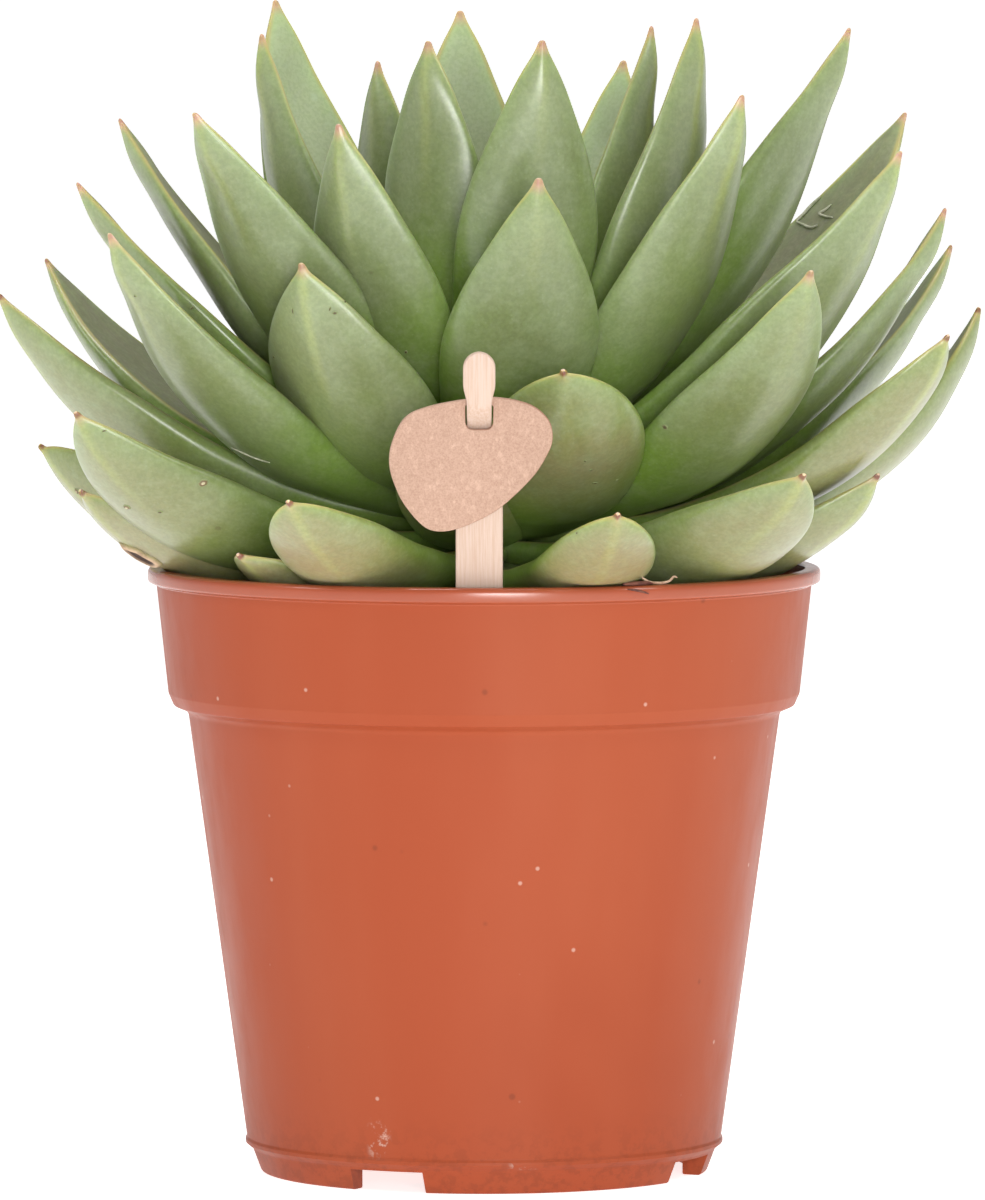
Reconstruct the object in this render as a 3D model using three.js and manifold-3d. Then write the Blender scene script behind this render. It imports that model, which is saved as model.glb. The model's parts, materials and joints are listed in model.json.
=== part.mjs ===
// A potted echeveria: a rosette of thick pointed leaves on a short stem, in potting mix,
// in a plastic nursery pot, with a wooden plant label beside it.
// Millimetres, +Z up. The origin is the middle of the pot's base, on the surface it stands on.
// Turns are degrees round the pot's axis: 0 points to the front (-Y) and 90 to the right (+X).

import * as THREE from 'three';
import Module from 'manifold-3d';
import { mergeVertices } from 'three/addons/utils/BufferGeometryUtils.js';

const wasm = await Module();
wasm.setup();

// Driving dimensions

// The space left between pieces that touch
const gap = 0.3;

const pot = {
  height: 108,
  rimRadius: 60,
  beadHeight: 2.8,
  collarTopRadius: 58.4,
  collarBottomRadius: 56.3,
  collarBottom: 85,
  bodyTopRadius: 52.8,
  bodyTop: 82.4,
  bodyBottomRadius: 42.4,
  bodyBottom: 5.7,
  footRadius: 39.8,
  footWidth: 3.4,
  footHeight: 3.8,
  wall: 1.2,
  edge: 0.6,
  floorFillet: 2,
  notchWidth: 14,
  notchDepth: 14,
  notchTurns: [-25, 65, 155, 245],
  drainRadius: 4,
  drainReach: 29,
  sides: 36,
};

// A low mound: each step is a share of the soil's radius and of its dome
const soil = { top: 99, dome: 2.5, edge: 1, steps: [[0.8, 0.15], [0.45, 0.65], [0, 1]] };

// Height and share of the radius, from the stem's foot in the soil to its top
const stem = {
  radius: 8,
  profile: [[62, 0.6], [76, 0.8], [102, 1], [110, 1], [130, 0.8], [138, 0.4]],
  sides: 12,
};

const label = {
  x: -0.8,
  y: -53,
  lean: 12,
  depth: 40,
  point: 8,
  thickness: 1.6,
  chamfer: 0.3,
  bodyWidth: 8.2,
  neckWidth: 4.3,
  headWidth: 5.6,
  slitHeight: 40.2,
  slitHalf: 2,
  headTop: 52.1,
  jog: 1.65,
  cardThickness: 1.1,
  cardSides: 34,
};

// The rosette. Leaves spread like a fan from the crown, and a leaf's root sits higher the steeper it stands.
const crown = { height: 120, lowestRoot: 108, highestRoot: 135, lowestRise: -5, highestRise: 90 };

const leafForm = {
  widest: 0.55,
  rootPower: 1.6,
  thickest: 0.38,
  rootThickness: 0.42,
  topShare: 0.22,
  swerve: 1.6,
  pointRoom: 1.2,
  pointTop: 0.55,
  pointUnder: 1.25,
  stations: [0, 0.14, 0.32, 0.5, 0.66, 0.79, 0.89, 0.95, 0.985, 1],
};

// Leaves with low tips are old, plump and blunt, and leaves with high tips are young and slender.
// Each pair holds a trait of a slender leaf and of a plump one.
const leafAge = {
  oldHeight: 140,
  youngHeight: 172,
  traits: {
    thicknessPerWidth: [0.3, 0.34],
    tipPower: [1.75, 2.7],
    tipRound: [1, 0.66],
    thinning: [2.8, 4],
    rootShare: [0.38, 0.56],
    cup: [0.22, 0.12],
    pointRadius: [0.5, 0.5],
    pointSpread: [0.36, 0.16],
  },
};

// The leaves that show from the front, from the lowest to the highest. Turn is where the tip points, swing is
// how far the root is turned from that, bow is how much the leaf curves up, and roll tips its face: degrees.
const frontLeaves = [
  // turn, swing, reach, tip height, width, bow, roll and, where its height doesn't tell it, age
  [-44, 0, 62, 113, 22, 14, 0],
  [17, 6, 79, 122, 21.5, 22, -4],
  [-72, -8, 75, 123, 25, 24, 5],
  [-25, -11, 80, 124, 22, 22, 10],
  [70, 12, 74, 126, 24, 32, -4, 0.5],
  [42, 10, 83, 128, 26, 24, -6, 0.5],
  [-100, -5, 81, 129, 27, 26, 30],
  [-57, -10, 85, 138, 28, 28, 16, 0.4],
  [-8, 0, 49, 132, 22, 10, 0],
  [13, 12, 61, 146, 29.5, 14, 0, 1],
  [66, 14, 89, 151, 25, 28, 0],
  [94, 4, 88.5, 154, 27, 46, 0],
  [-84, -6, 86.5, 157, 29, 32, 0],
  [-106, 0, 82, 162, 26, 24, 0],
  [46, 12, 79, 163, 26, 28, -8],
  [112, 0, 91, 164, 25, 34, -12],
  [-34, -4, 57, 164, 32, 24, 0],
  [-57, -4, 78, 169, 28, 26, 0],
  [88, 0, 82, 172, 26, 33, 0],
  [-76, 0, 74, 177, 26, 16, 0],
  [10, 0, 55, 179, 28, 20, 0],
  [66, 0, 80, 183, 30, 25, -12],
  [-124, 0, 56, 181, 24, 20, 0],
  [112, 0, 82, 188, 22, 20, -8],
  [-84, 0, 65, 188, 27, 14, -12],
  [-32, 0, 48, 188, 26, 20, 0],
  [-50, 0, 66, 190, 26, 11, 12],
  [50, 0, 59, 193, 25, 20, -2],
  [152, 0, 54, 197, 24, 20, 0],
  [-95, 0, 19, 198, 22, 12, 10],
  [112, 0, 41, 201, 23, 20, 0],
  [16, 0, 37, 202.5, 26, 16, 0],
  [-28, 0, 21, 202, 22, 12, 0],
  [-80, 0, 40, 203, 21, 22, 0],
  [86, 0, 65, 204, 27, 16, -8],
  [110, 0, 31.8, 204, 22, 14, -15],
  [66, 0, 41, 206, 25.5, 22, 2],
  [190, 0, 25, 206.5, 24, 12, 0],
  [-140, 0, 59, 208, 27, 22, 0],
];

// The leaves behind, in rows from the lowest to the highest
const backRows = [
  { turns: [118, 144, 170, 196, 221, 243], reach: 73, tipHeight: 127 },
  { turns: [131, 157, 183, 208, 233], reach: 76, tipHeight: 148 },
  { turns: [144, 170, 196, 220], reach: 71, tipHeight: 171 },
];
const backLeaf = { width: 26, bow: 25, sway: 2, swayRate: 2.4 };

// Young leaves round a core, each one smaller, lower and steeper than the one before it
const heart = {
  leaves: 8,
  turnStep: 137.5,
  reach: [15, 3.8],
  tipHeight: [178, 162],
  width: [16, 7.2],
  rootHeight: [141, 146],
  bow: 10,
  coreRadius: 5,
  coreStretch: 1.8,
  coreHeight: 145,
};

const shades = {
  pot: 0xc8674a,
  soil: 0x3b2c22,
  stem: 0x8f8a5c,
  leaf: 0x93a878,
  heart: 0x9db383,
  wood: 0xe9cfb2,
  card: 0xd9b294,
};

const { degToRad, radToDeg, lerp, inverseLerp, smoothstep } = THREE.MathUtils;

// Solids: triangles in, joined and cut, and triangles out again

function solidFrom(geometry) {
  const bare = geometry.index ? geometry.toNonIndexed() : geometry.clone();
  bare.deleteAttribute('normal');
  bare.deleteAttribute('uv');
  const merged = mergeVertices(bare, 1e-4);
  const corners = merged.index.array;
  const kept = [];
  for (let i = 0; i < corners.length; i += 3) {
    const [a, b, c] = [corners[i], corners[i + 1], corners[i + 2]];
    if (a !== b && b !== c && c !== a) kept.push(a, b, c);
  }
  const mesh = new wasm.Mesh({
    numProp: 3,
    vertProperties: Float32Array.from(merged.attributes.position.array),
    triVerts: Uint32Array.from(kept),
  });
  return new wasm.Manifold(mesh);
}

function geometryFrom(solid) {
  const mesh = solid.getMesh();
  const geometry = new THREE.BufferGeometry();
  geometry.setAttribute('position', new THREE.BufferAttribute(mesh.vertProperties, 3));
  geometry.setIndex(new THREE.BufferAttribute(mesh.triVerts, 1));
  geometry.computeVertexNormals();
  return geometry;
}

function piece(name, solid, colour, roughness) {
  const material = new THREE.MeshStandardMaterial({ color: colour, roughness, metalness: 0 });
  const mesh = new THREE.Mesh(geometryFrom(solid), material);
  mesh.name = name;
  return mesh;
}

// A closed skin over rings of points, with a flat cap at each end
function loft(rings) {
  const count = rings[0].length;
  const points = rings.flat().flatMap((p) => [p.x, p.y, p.z]);
  const faces = [];
  for (let i = 0; i + 1 < rings.length; i += 1) {
    for (let j = 0; j < count; j += 1) {
      const a = i * count + j;
      const b = i * count + ((j + 1) % count);
      faces.push(a, b, b + count, a, b + count, a + count);
    }
  }
  const last = (rings.length - 1) * count;
  for (let j = 1; j + 1 < count; j += 1) {
    faces.push(0, j + 1, j);
    faces.push(last, last + j, last + j + 1);
  }
  const geometry = new THREE.BufferGeometry();
  geometry.setAttribute('position', new THREE.Float32BufferAttribute(points, 3));
  geometry.setIndex(faces);
  return geometry;
}

function turned(outline, sides) {
  const points = outline.map(([r, z]) => new THREE.Vector2(r, z));
  return solidFrom(new THREE.LatheGeometry(points, sides).rotateX(Math.PI / 2));
}

// The main body of a solid, without the scraps that a cut leaves
function mainBody(solid) {
  return solid.decompose().reduce((a, b) => (a.volume() > b.volume() ? a : b));
}

// The direction that a turn points in
function heading(turn) {
  return new THREE.Vector3(Math.sin(degToRad(turn)), -Math.cos(degToRad(turn)), 0);
}

// Pot: a thin turned shell with a raised floor on a notched foot ring

function potOutline() {
  const p = pot;
  const inside = (r) => r - p.wall;
  return [
    [0, p.footHeight],
    [p.footRadius - p.footWidth, p.footHeight],
    [p.footRadius - p.footWidth, 0],
    [p.footRadius - p.edge, 0],
    [p.footRadius, p.edge],
    [p.bodyBottomRadius, p.bodyBottom],
    [p.bodyTopRadius, p.bodyTop],
    [p.collarBottomRadius, p.collarBottom],
    [p.collarTopRadius, p.height - p.beadHeight],
    [p.rimRadius, p.height - p.beadHeight + p.edge],
    [p.rimRadius, p.height - p.edge],
    [p.rimRadius - p.edge, p.height],
    [inside(p.collarTopRadius), p.height],
    [inside(p.collarBottomRadius), p.collarBottom + p.edge],
    [inside(p.bodyTopRadius), p.bodyTop - p.edge],
    [inside(p.bodyBottomRadius), p.bodyBottom + p.wall],
    [inside(p.bodyBottomRadius) - p.floorFillet, p.footHeight + p.wall],
    [0, p.footHeight + p.wall],
  ];
}

function buildPot() {
  let solid = turned(potOutline(), pot.sides);
  for (const turn of pot.notchTurns) {
    const notch = new THREE.BoxGeometry(pot.notchWidth, pot.notchDepth, pot.footHeight * 2);
    notch.rotateZ(degToRad(turn));
    const outside = heading(turn).multiplyScalar(pot.footRadius);
    notch.translate(outside.x, outside.y, 0);
    const drain = new THREE.CylinderGeometry(pot.drainRadius, pot.drainRadius, pot.wall * 4, pot.sides / 3);
    drain.rotateX(Math.PI / 2);
    const place = heading(turn).multiplyScalar(pot.drainReach);
    drain.translate(place.x, place.y, pot.footHeight);
    solid = solid.subtract(solidFrom(notch)).subtract(solidFrom(drain));
  }
  return solid;
}

// The room that the rim takes up, which the leaves lying on it keep clear of
function rimSpace() {
  const inner = pot.collarTopRadius - pot.wall - gap;
  const outer = pot.rimRadius + gap;
  const low = soil.top;
  const high = pot.height + gap;
  return turned([[inner, low], [outer, low], [outer, high], [inner, high], [inner, low]], pot.sides);
}

// Soil: fills the pot up to a low mound
function soilOutline() {
  const p = pot;
  const inside = (r) => r - p.wall - gap;
  const floor = p.footHeight + p.wall + gap;
  const level = inverseLerp(p.collarBottom, p.height - p.beadHeight, soil.top);
  const radius = inside(lerp(p.collarBottomRadius, p.collarTopRadius, level));
  return [
    [0, floor],
    [inside(p.bodyBottomRadius) - p.floorFillet, floor],
    [inside(p.bodyBottomRadius), p.bodyBottom + p.wall + gap],
    [inside(p.bodyTopRadius), p.bodyTop - p.edge],
    [inside(p.collarBottomRadius), p.collarBottom + p.edge + gap],
    [radius, soil.top - soil.edge],
    ...soil.steps.map(([reach, rise]) => [radius * reach, soil.top + soil.dome * rise]),
  ];
}

// Stem: stands in the soil and carries the leaves
function stemOutline(grow) {
  const last = stem.profile.length - 1;
  const ends = { 0: -grow, [last]: grow };
  const side = stem.profile.map(([height, share], i) => (
    [stem.radius * share + grow, height + (ends[i] ?? 0)]
  ));
  return [[0, side[0][1]], ...side, [0, side[last][1]]];
}

// Leaves

function leafTraits(leaf) {
  const { oldHeight, youngHeight, traits } = leafAge;
  const plump = leaf.age ?? 1 - smoothstep(leaf.tipHeight, oldHeight, youngHeight);
  return Object.fromEntries(Object.entries(traits).map(([name, pair]) => [name, lerp(...pair, plump)]));
}

// Half width along a leaf, as a share of the widest: t runs from the root to the tip
function widthShare(t, traits) {
  const form = leafForm;
  if (t > form.widest) return (1 - inverseLerp(form.widest, 1, t) ** traits.tipPower) ** traits.tipRound;
  return 1 - (1 - traits.rootShare) * (1 - t / form.widest) ** form.rootPower;
}

function thicknessShare(t, traits) {
  const form = leafForm;
  if (t > form.thickest) return 1 - inverseLerp(form.thickest, 1, t) ** traits.thinning;
  return lerp(form.rootThickness, 1, t / form.thickest);
}

// The narrow end that carries the tip, at a distance from it
function pointSize(left, traits) {
  const rounded = traits.pointRadius * Math.sqrt(1 - (1 - Math.min(left / traits.pointRadius, 1)) ** 2);
  return Math.max(0.25, (rounded + traits.pointSpread * left) * (1 - smoothstep(left, 4, 22)));
}

// The larger of two sizes, with a soft change from one to the other
function blended(a, b) {
  return Math.cbrt(a ** 3 + b ** 3);
}

// The middle line of a leaf: it leaves the stem flatter than it points and ends steeper,
// and its swing turns the root away from the direction of the tip
function leafSpine(leaf) {
  const rootReach = stem.radius / 2;
  const root = heading(leaf.turn + leaf.swing).multiplyScalar(rootReach).setZ(leaf.rootHeight);
  const tip = heading(leaf.turn).multiplyScalar(leaf.reach).setZ(leaf.tipHeight);
  const slope = Math.atan2(tip.z - root.z, leaf.reach - rootReach);
  const third = root.distanceTo(tip) / 3;
  const step = (turn, angle) => (
    heading(turn).multiplyScalar(Math.cos(angle)).setZ(Math.sin(angle)).multiplyScalar(third)
  );
  const swerve = leafForm.swerve * leaf.swing;
  const afterRoot = root.clone().add(step(leaf.turn + swerve, slope - degToRad(leaf.bow)));
  const beforeTip = tip.clone().sub(step(leaf.turn - swerve, slope + degToRad(leaf.bow)));
  return new THREE.CubicBezierCurve3(root, afterRoot, beforeTip, tip);
}

// One section of a leaf: a shallow trough above, a deep belly below and two sharp edges
function leafRing(leaf, spine, t, grow) {
  const form = leafForm;
  const middle = spine.getPoint(t);
  const along = spine.getTangent(t);
  const turn = degToRad(leaf.turn + leaf.swing * (1 - 2 * t));
  const side = new THREE.Vector3(Math.cos(turn), Math.sin(turn), 0);
  side.addScaledVector(along, -side.dot(along)).normalize();
  side.applyAxisAngle(along, degToRad(leaf.roll));
  const up = along.clone().cross(side);
  const traits = leafTraits(leaf);
  const length = spine.v0.distanceTo(spine.v3);
  const point = pointSize((1 - t) * length, traits);
  const body = Math.min(1, t / (1 - form.pointRoom / length));
  const half = blended((leaf.width / 2) * widthShare(body, traits), point) + grow;
  const thick = leaf.width * traits.thicknessPerWidth * thicknessShare(body, traits);
  const top = blended(thick * form.topShare, point * form.pointTop) + grow;
  const under = -blended(thick * (1 - form.topShare), point * form.pointUnder) - grow;
  const belly = under * 0.74;
  const section = [[1, 0], [0, top], [-1, 0], [-0.6, belly], [0, under], [0.6, belly]];
  return section.map(([across, lift]) => middle.clone()
    .addScaledVector(side, across * half)
    .addScaledVector(up, lift + traits.cup * half * across ** 2));
}

function leafSolid(leaf, grow) {
  const spine = leafSpine(leaf);
  return solidFrom(loft(leafForm.stations.map((t) => leafRing(leaf, spine, t, grow))));
}

// A leaf's root sits higher on the stem the steeper the leaf stands
function rootHeightOf(reach, tipHeight) {
  const rise = radToDeg(Math.atan2(tipHeight - crown.height, reach));
  return lerp(crown.lowestRoot, crown.highestRoot, inverseLerp(crown.lowestRise, crown.highestRise, rise));
}

function listLeaves() {
  const list = frontLeaves.map(([turn, swing, reach, tipHeight, width, bow, roll, age]) => (
    { turn, swing, reach, tipHeight, width, bow, roll, age }
  ));
  for (const row of backRows) {
    row.turns.forEach((turn, i) => {
      const sway = backLeaf.sway * Math.sin(turn * backLeaf.swayRate + i);
      list.push({
        turn,
        swing: sway,
        reach: row.reach + sway,
        tipHeight: row.tipHeight - sway,
        width: backLeaf.width,
        bow: backLeaf.bow,
        roll: sway,
      });
    });
  }
  for (const leaf of list) leaf.rootHeight = rootHeightOf(leaf.reach, leaf.tipHeight);
  list.sort((a, b) => a.rootHeight - b.rootHeight);
  list.forEach((leaf, i) => {
    leaf.name = `leaf_${String(i + 1).padStart(2, '0')}`;
  });
  return list;
}

// The heart: young leaves round a small core on top of the stem, all one piece
function heartSolid(grow) {
  const core = new THREE.SphereGeometry(heart.coreRadius + grow, 8, 5).scale(1, 1, heart.coreStretch);
  let solid = solidFrom(core.translate(0, 0, heart.coreHeight));
  for (let i = 0; i < heart.leaves; i += 1) {
    const share = i / (heart.leaves - 1);
    solid = solid.add(leafSolid({
      turn: i * heart.turnStep,
      swing: 0,
      reach: lerp(...heart.reach, share),
      tipHeight: lerp(...heart.tipHeight, share),
      width: lerp(...heart.width, share),
      bow: heart.bow,
      roll: 0,
      rootHeight: lerp(...heart.rootHeight, share),
    }, grow));
  }
  return solid;
}

// Label: a flat stick with a round head, bent forward at its neck to pass through the slit of a rounded card

function stickRing(height, width, forward, thickness) {
  const x = width / 2;
  const y = thickness / 2;
  const edge = Math.min(label.chamfer, x / 2);
  return [
    [x - edge, -y], [x, -y + edge], [x, y - edge], [x - edge, y],
    [-x + edge, y], [-x, y - edge], [-x, -y + edge], [-x + edge, -y],
  ].map(([a, b]) => new THREE.Vector3(a, b - forward, height));
}

function stickSolid(grow) {
  const l = label;
  const low = l.slitHeight - l.slitHalf;
  const high = l.slitHeight + l.slitHalf;
  const headFoot = high + l.slitHalf;
  const headAt = (share) => lerp(headFoot, l.headTop, share);
  const front = 2 * l.jog;
  const rings = [
    [-l.depth - grow, l.bodyWidth * 0.2, 0],
    [-l.depth + l.point, l.bodyWidth, 0],
    [low - 3 * l.slitHalf, l.bodyWidth, 0],
    [low - 1.5 * l.slitHalf, l.neckWidth, 0],
    [low, l.neckWidth, front * 0.05],
    [high, l.neckWidth, front * 0.95],
    [headFoot, l.neckWidth, front],
    [headAt(0.25), l.headWidth * 0.95, front],
    [headAt(0.5), l.headWidth, front],
    [headAt(0.75), l.headWidth * 0.9, front],
    [headAt(0.93), l.headWidth * 0.55, front],
    [headAt(1) + grow, l.headWidth * 0.2, front],
  ];
  return solidFrom(loft(rings.map(([height, width, forward]) => (
    stickRing(height, width + 2 * grow, forward, l.thickness + 2 * grow)
  ))));
}

// The card's outline, measured across and up from its slit
const cardOutline = [
  [-15.6, -8.5], [-15.1, -4.5], [-12.8, -0.1], [-8.5, 1.9], [-1.6, 3.2], [3.6, 3.4], [8.9, 2.1], [12, -0.6],
  [12.7, -4], [11.5, -7.3], [8.9, -11.2], [3.6, -16.3], [-1.6, -19.2], [-5.9, -20.5], [-9.4, -19.8],
  [-12.8, -16], [-14.6, -12.4],
];
const cardMiddle = new THREE.Vector3(-1.5, -8, 0);

function cardSolid(grow) {
  const l = label;
  const points = cardOutline.map(([x, y]) => new THREE.Vector3(x, y, 0));
  const rim = new THREE.CatmullRomCurve3(points, true).getPoints(l.cardSides).slice(0, -1);
  const grown = rim.map((p) => p.clone().addScaledVector(p.clone().sub(cardMiddle).normalize(), grow));
  const shape = new THREE.Shape(grown.map((p) => new THREE.Vector2(p.x, p.y)));
  const depth = l.cardThickness + 2 * grow;
  const card = new THREE.ExtrudeGeometry(shape, { depth, bevelEnabled: false });
  card.translate(0, 0, -depth / 2).rotateX(Math.PI / 2);
  return solidFrom(card.translate(0, -l.jog, l.slitHeight));
}

function labelPlace() {
  const place = new THREE.Group();
  place.position.set(label.x, label.y, soil.top);
  place.rotation.x = degToRad(label.lean);
  place.updateMatrixWorld(true);
  return place;
}

// Assembly

function placedAt(solid, holder) {
  return solid.transform(holder.matrixWorld.toArray());
}

function boxesMeet(a, b) {
  const p = a.boundingBox();
  const q = b.boundingBox();
  return [0, 1, 2].every((i) => p.min[i] < q.max[i] && q.min[i] < p.max[i]);
}

// What is left of a leaf after its neighbours have taken their room
function cutClear(solid, neighbours) {
  let left = solid;
  for (const neighbour of neighbours) {
    if (boxesMeet(left, neighbour)) left = left.subtract(neighbour);
  }
  return mainBody(left).simplify(gap / 6);
}

const group = new THREE.Group();
const labelGroup = labelPlace();
group.add(labelGroup);

const stickClear = stickSolid(gap);
labelGroup.add(piece('label_stake', stickSolid(0), shades.wood, 0.8));
labelGroup.add(piece('label_card', cardSolid(0).subtract(stickClear), shades.card, 0.85));

const stemClear = turned(stemOutline(gap), stem.sides);
const stickSpace = placedAt(stickClear, labelGroup);
const cardSpace = placedAt(cardSolid(gap), labelGroup);
const soilSolid = turned(soilOutline(), pot.sides).subtract(stemClear).subtract(stickSpace);
group.add(piece('pot', buildPot(), shades.pot, 0.45));
group.add(piece('soil', soilSolid, shades.soil, 0.95));
group.add(piece('stem', turned(stemOutline(0), stem.sides), shades.stem, 0.8));
group.add(piece('heart', mainBody(heartSolid(0).subtract(stemClear)), shades.heart, 0.5));

// Every leaf is cut clear of the stem, the rim, the label and the younger leaves above it
const neighbours = [stemClear, heartSolid(gap), rimSpace(), stickSpace, cardSpace];
for (const leaf of listLeaves().reverse()) {
  group.add(piece(leaf.name, cutClear(leafSolid(leaf, 0), neighbours), shades.leaf, 0.5));
  neighbours.push(leafSolid(leaf, gap));
}

export default group;
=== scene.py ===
import json
import math

import bmesh
import bpy
import numpy as np
from mathutils import Matrix, Vector
from mathutils.bvhtree import BVHTree

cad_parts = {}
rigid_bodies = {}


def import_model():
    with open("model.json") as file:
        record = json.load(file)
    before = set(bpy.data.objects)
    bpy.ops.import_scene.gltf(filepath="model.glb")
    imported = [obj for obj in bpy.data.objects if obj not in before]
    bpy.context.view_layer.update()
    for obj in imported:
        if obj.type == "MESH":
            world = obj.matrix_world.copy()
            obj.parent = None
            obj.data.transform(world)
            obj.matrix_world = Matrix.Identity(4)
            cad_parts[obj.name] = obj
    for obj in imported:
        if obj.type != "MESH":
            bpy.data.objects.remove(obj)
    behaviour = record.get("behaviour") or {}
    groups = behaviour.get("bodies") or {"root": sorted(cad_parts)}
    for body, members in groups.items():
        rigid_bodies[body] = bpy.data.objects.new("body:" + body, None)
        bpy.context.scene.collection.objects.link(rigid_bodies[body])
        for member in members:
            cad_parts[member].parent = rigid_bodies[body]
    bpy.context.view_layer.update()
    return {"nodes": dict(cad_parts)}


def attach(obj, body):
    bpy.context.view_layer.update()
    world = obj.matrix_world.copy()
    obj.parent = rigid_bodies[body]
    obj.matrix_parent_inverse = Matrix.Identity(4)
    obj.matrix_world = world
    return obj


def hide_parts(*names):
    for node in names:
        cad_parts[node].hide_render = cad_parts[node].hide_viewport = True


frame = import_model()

# Echeveria rosette in a plastic nursery pot, with a wooden stick and a card beside it.
# The dictionaries hold millimetres and degrees, but the studio's places and sizes are in metres.
# A turn of 0 points to the front (-Y), 90 to the right (+X).
mm = 0.001
gap = 0.3  # millimetres between the potting mix and the pot
print("frame loaded,", len(frame["nodes"]), "nodes")


# small maths

def lerp(a, b, share):
    return a + (b - a) * share


def smooth(low, high, value):
    share = np.clip((value - low) / (high - low), 0, 1)
    return share * share * (3 - 2 * share)


def unit(vectors):
    return vectors / np.linalg.norm(vectors, axis=-1, keepdims=True)


def heading(turn):
    angle = np.radians(turn)
    return np.stack([np.sin(angle), -np.cos(angle), np.zeros_like(angle)], axis=-1)


def linearColor(red, green, blue):
    levels = [level / 255 for level in (red, green, blue)]
    return [c / 12.92 if c <= 0.04045 else ((c + 0.055) / 1.055) ** 2.4 for c in levels] + [1.0]


def linearColors(colors):
    return {key: linearColor(*levels) for key, levels in colors.items()}


# node helpers: most return the socket that holds their result

def plug(tree, socket, value):
    if isinstance(value, bpy.types.NodeSocket):
        tree.links.new(value, socket)
    else:
        socket.default_value = value


def mathOf(tree, operation, a, b=0.0):
    node = tree.nodes.new("ShaderNodeMath")
    node.operation = operation
    plug(tree, node.inputs[0], a)
    plug(tree, node.inputs[1], b)
    return node.outputs[0]


def times(tree, a, b):
    return mathOf(tree, "MULTIPLY", a, b)


def plus(tree, a, b):
    return mathOf(tree, "ADD", a, b)


def partsOf(tree, vector):
    parts = tree.nodes.new("ShaderNodeSeparateXYZ")
    tree.links.new(vector, parts.inputs["Vector"])
    return parts.outputs


def rangeOf(tree, value, low, high, toLow=0.0, toHigh=1.0):
    node = tree.nodes.new("ShaderNodeMapRange")
    node.interpolation_type = "SMOOTHSTEP"
    plug(tree, node.inputs["Value"], value)
    node.inputs["From Min"].default_value = low
    node.inputs["From Max"].default_value = high
    node.inputs["To Min"].default_value = toLow
    node.inputs["To Max"].default_value = toHigh
    return node.outputs["Result"]


def mixOf(tree, share, a, b, blend="MIX"):
    node = tree.nodes.new("ShaderNodeMix")
    node.data_type = "RGBA"
    node.blend_type = blend
    plug(tree, node.inputs["Factor"], share)
    plug(tree, node.inputs["A"], a)
    plug(tree, node.inputs["B"], b)
    return node.outputs["Result"]


def noiseOf(tree, where, scale, detail=3.0, roughness=0.55, stretch=(1, 1, 1)):
    mapping = tree.nodes.new("ShaderNodeMapping")
    mapping.inputs["Scale"].default_value = stretch
    tree.links.new(where, mapping.inputs["Vector"])
    node = tree.nodes.new("ShaderNodeTexNoise")
    node.inputs["Scale"].default_value = scale
    node.inputs["Detail"].default_value = detail
    node.inputs["Roughness"].default_value = roughness
    tree.links.new(mapping.outputs["Vector"], node.inputs["Vector"])
    return node.outputs["Fac"]


def specksOf(tree, where, scale, size, density):
    cells = tree.nodes.new("ShaderNodeTexVoronoi")
    cells.inputs["Scale"].default_value = scale
    tree.links.new(where, cells.inputs["Vector"])
    parts = tree.nodes.new("ShaderNodeSeparateColor")
    tree.links.new(cells.outputs["Color"], parts.inputs["Color"])
    chosen = mathOf(tree, "LESS_THAN", parts.outputs["Red"], density)
    grain = rangeOf(tree, cells.outputs["Distance"], size, size * 0.4)
    return times(tree, chosen, grain)


def attributeOf(tree, name, output="Fac"):
    node = tree.nodes.new("ShaderNodeAttribute")
    node.attribute_name = name
    return node.outputs[output]


def placeOf(tree):
    return tree.nodes.new("ShaderNodeTexCoord").outputs["Object"]


def newMaterial(name, **settings):
    material = bpy.data.materials.new(name)
    material.use_nodes = True
    tree = material.node_tree
    for socket, value in settings.items():
        tree.nodes["Principled BSDF"].inputs[socket.replace("_", " ")].default_value = value
    return material, tree


def dress(material, color, height, strength, distance, roughness=None):
    # joins the colour, the bump and any roughness that varies to the shader; distance is in millimetres
    tree = material.node_tree
    shader = tree.nodes["Principled BSDF"]
    tree.links.new(color, shader.inputs["Base Color"])
    if roughness is not None:
        tree.links.new(roughness, shader.inputs["Roughness"])
    bump = tree.nodes.new("ShaderNodeBump")
    bump.inputs["Strength"].default_value = strength
    bump.inputs["Distance"].default_value = distance * mm
    tree.links.new(height, bump.inputs["Height"])
    tree.links.new(bump.outputs["Normal"], shader.inputs["Normal"])
    return material


# object and mesh helpers

def addObject(name, data):
    thing = bpy.data.objects.new(name, data)
    bpy.context.scene.collection.objects.link(thing)
    return thing


def makePiece(name, points, faces, material, nodes=(), values=None, sharp=None):
    mesh = bpy.data.meshes.new(name)
    mesh.from_pydata([tuple(p) for p in np.asarray(points) * mm], [], faces)
    for key, numbers in (values or {}).items():
        isVector = np.ndim(numbers) == 2
        layer = mesh.attributes.new(key, "FLOAT_VECTOR" if isVector else "FLOAT", "POINT")
        layer.data.foreach_set("vector" if isVector else "value", np.asarray(numbers, np.float32).ravel())
    shape = bmesh.new()
    shape.from_mesh(mesh)
    bmesh.ops.recalc_face_normals(shape, faces=shape.faces)
    shape.to_mesh(mesh)
    shape.free()
    mesh.polygons.foreach_set("use_smooth", [True] * len(mesh.polygons))
    if sharp:
        mesh.set_sharp_from_angle(angle=math.radians(sharp))
    piece = addObject(name, mesh)
    mesh.materials.append(material)
    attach(piece, "root")
    if nodes:
        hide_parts(*nodes)
    return piece


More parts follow.
